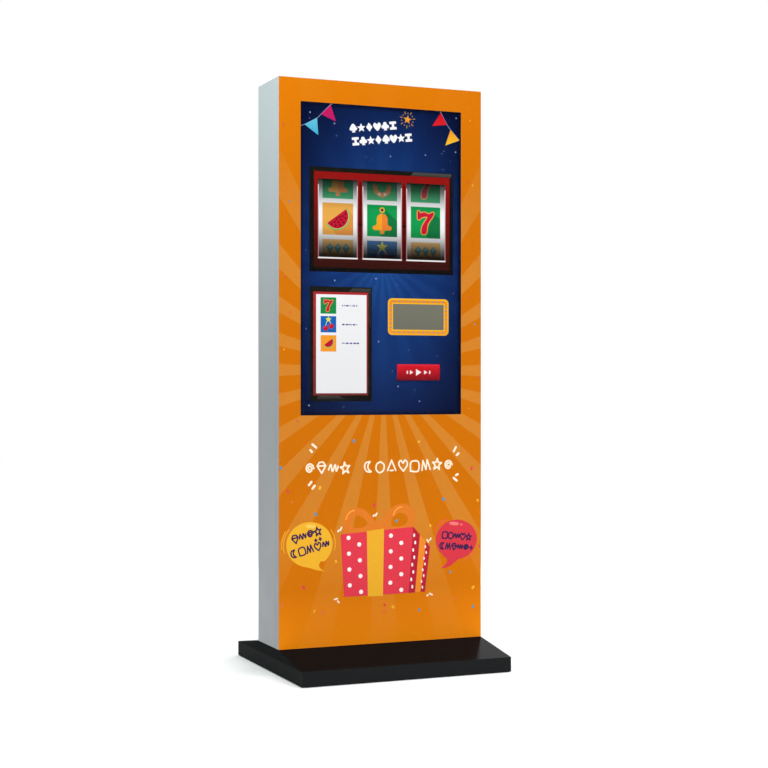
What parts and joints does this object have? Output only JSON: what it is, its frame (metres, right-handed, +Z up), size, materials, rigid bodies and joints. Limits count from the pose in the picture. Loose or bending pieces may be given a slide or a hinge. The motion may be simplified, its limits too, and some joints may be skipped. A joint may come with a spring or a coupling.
{
  "type": "slot machine",
  "caption": "Free-standing touch display totem with an on-screen reel game: slim steel column with a printed front on a black wedge plinth, service door and leveling feet.",
  "frame": {"origin": "centre of the plinth's footprint, on the floor", "axes": "+Z up, the display faces -Y, +X is to the right of a player who faces the display"},
  "size_m": [0.672, 0.608, 1.793],
  "materials": {
    "plinth_paint": "gloss black powder coat",
    "ballast_steel": "grey primer on plate steel",
    "zinc_steel": "zinc plated",
    "foot_rubber": "matt",
    "cabinet_paint": "satin silver-grey powder coat",
    "printed_wrap": "printed vinyl, satin",
    "seal_rubber": "matt",
    "touch_glass": "clear toughened",
    "bezel_black": "satin black",
    "lcd_picture": "lit display",
    "light_guide": "clear acrylic",
    "chassis_steel": "galvanised",
    "frame_paint": "satin grey paint",
    "anodised_black": "black anodised",
    "pc_case": "fine texture black",
    "supply_case": "plain sheet",
    "button_metal": "satin",
    "breaker_white": "moulded",
    "lever_blue": "moulded",
    "terminal_grey": "moulded",
    "module_black": "moulded",
    "fan_black": "moulded",
    "rocker_red": "moulded",
    "cone_paper": "pressed pulp",
    "lock_chrome": "polished",
    "cable_jacket": "PVC",
    "nylon_white": "nylon"
  },
  "bodies": {
    "cabinet": {"base_plate": "ballast_steel", "base_cover": "plinth_paint", "base_risers": "ballast_steel", "column_bolts": "zinc_steel", "housing_shell": "cabinet_paint", "front_panel": "cabinet_paint", "front_wrap": "printed_wrap", "glass_gasket": "seal_rubber", "touch_glass": "touch_glass", "glass_clips": "zinc_steel", "cabinet_fasteners": "zinc_steel", "display_bezel": "bezel_black", "display_cell": "lcd_picture", "backlight": "light_guide", "display_chassis": "chassis_steel", "display_board_cover": "chassis_steel", "display_crossbars": "frame_paint", "component_plate": "zinc_steel", "mini_pc_case": "pc_case", "mini_pc_heatsink": "anodised_black", "power_supply": "supply_case", "din_rail": "zinc_steel", "circuit_breaker": "breaker_white", "terminal_blocks": "terminal_grey", "touch_controller": "module_black", "fan_bracket": "cabinet_paint", "fan_frames": "fan_black", "rear_panel": "cabinet_paint", "connector_plate": "cabinet_paint", "power_inlet": "module_black", "inlet_blades": "lock_chrome", "network_socket": "module_black", "speaker_boxes": "module_black", "speaker_cones": "cone_paper", "hinge_frame_leaves": "zinc_steel", "hinge_pins": "zinc_steel", "power_cables": "cable_jacket", "signal_cables": "cable_jacket", "cable_clips": "nylon_white"},
    "door": {"rear_door": "cabinet_paint", "door_stiffeners": "cabinet_paint", "door_gasket": "seal_rubber", "hinge_door_leaves": "zinc_steel", "lock_bodies": "lock_chrome"},
    "upper_lock": {"lock_cam_upper": "lock_chrome"},
    "lower_lock": {"lock_cam_lower": "lock_chrome"},
    "left_fan": {"fan_rotor_left": "fan_black"},
    "right_fan": {"fan_rotor_right": "fan_black"},
    "rocker": {"power_rocker": "rocker_red"},
    "fuse_holder": {"fuse_drawer": "module_black"},
    "pc_button": {"pc_power_button": "button_metal"},
    "breaker": {"breaker_lever": "lever_blue"},
    "foot_1": {"foot_pad_1": "foot_rubber"},
    "foot_2": {"foot_pad_2": "foot_rubber"},
    "foot_3": {"foot_pad_3": "foot_rubber"},
    "foot_4": {"foot_pad_4": "foot_rubber"},
    "stud_1": {"foot_stud_1": "zinc_steel"},
    "stud_2": {"foot_stud_2": "zinc_steel"},
    "stud_3": {"foot_stud_3": "zinc_steel"},
    "stud_4": {"foot_stud_4": "zinc_steel"}
  },
  "joints": [
    {"name": "door_swing", "type": "hinge", "parent": "cabinet", "child": "door", "pos_m": [0.3105, 0.1018, 1.035], "axis": [0, 0, -1], "range_deg": [0, 110]},
    {"name": "upper_lock_turn", "type": "hinge", "parent": "door", "child": "upper_lock", "pos_m": [-0.285, 0.094, 1.51], "axis": [0, 1, 0], "range_deg": [0, 90]},
    {"name": "lower_lock_turn", "type": "hinge", "parent": "door", "child": "lower_lock", "pos_m": [-0.285, 0.094, 0.56], "axis": [0, 1, 0], "range_deg": [0, 90]},
    {"name": "left_fan_spin", "type": "hinge", "parent": "cabinet", "child": "left_fan", "pos_m": [-0.12, 0.072, 1.692], "axis": [0, 1, 0], "continuous": true},
    {"name": "right_fan_spin", "type": "hinge", "parent": "cabinet", "child": "right_fan", "pos_m": [0.12, 0.072, 1.692], "axis": [0, 1, 0], "continuous": true},
    {"name": "power_rocker_tilt", "type": "hinge", "parent": "cabinet", "child": "rocker", "pos_m": [-0.06, 0.0995, 0.206], "axis": [1, 0, 0], "range_deg": [0, 16]},
    {"name": "fuse_drawer_slide", "type": "slide", "parent": "cabinet", "child": "fuse_holder", "axis": [0, 1, 0], "range_m": [0, 0.02]},
    {"name": "pc_button_press", "type": "slide", "parent": "cabinet", "child": "pc_button", "axis": [0, 0, -1], "range_m": [0, 0.0012], "stiffness_N_per_m": 400},
    {"name": "breaker_lever_tilt", "type": "hinge", "parent": "cabinet", "child": "breaker", "pos_m": [0.088, 0.061, 0.44], "axis": [-1, 0, 0], "range_deg": [0, 70]},
    {"name": "foot_1_raise", "type": "slide", "parent": "cabinet", "child": "foot_1", "axis": [0, 0, -1], "range_m": [0, 0.012]},
    {"name": "foot_1_turn", "type": "hinge", "parent": "foot_1", "child": "stud_1", "pos_m": [-0.28, -0.26, 0.02], "axis": [0, 0, 1], "range_deg": [0, 2880]},
    {"name": "foot_2_raise", "type": "slide", "parent": "cabinet", "child": "foot_2", "axis": [0, 0, -1], "range_m": [0, 0.012]},
    {"name": "foot_2_turn", "type": "hinge", "parent": "foot_2", "child": "stud_2", "pos_m": [0.28, -0.26, 0.02], "axis": [0, 0, 1], "range_deg": [0, 2880]},
    {"name": "foot_3_raise", "type": "slide", "parent": "cabinet", "child": "foot_3", "axis": [0, 0, -1], "range_m": [0, 0.012]},
    {"name": "foot_3_turn", "type": "hinge", "parent": "foot_3", "child": "stud_3", "pos_m": [-0.28, 0.26, 0.02], "axis": [0, 0, 1], "range_deg": [0, 2880]},
    {"name": "foot_4_raise", "type": "slide", "parent": "cabinet", "child": "foot_4", "axis": [0, 0, -1], "range_m": [0, 0.012]},
    {"name": "foot_4_turn", "type": "hinge", "parent": "foot_4", "child": "stud_4", "pos_m": [0.28, 0.26, 0.02], "axis": [0, 0, 1], "range_deg": [0, 2880]}
  ],
  "couplings": [
    {"joint": "foot_1_turn", "follows": "foot_1_raise", "rad_per_m": 4188.8},
    {"joint": "foot_2_turn", "follows": "foot_2_raise", "rad_per_m": 4188.8},
    {"joint": "foot_3_turn", "follows": "foot_3_raise", "rad_per_m": 4188.8},
    {"joint": "foot_4_turn", "follows": "foot_4_raise", "rad_per_m": 4188.8}
  ]
}
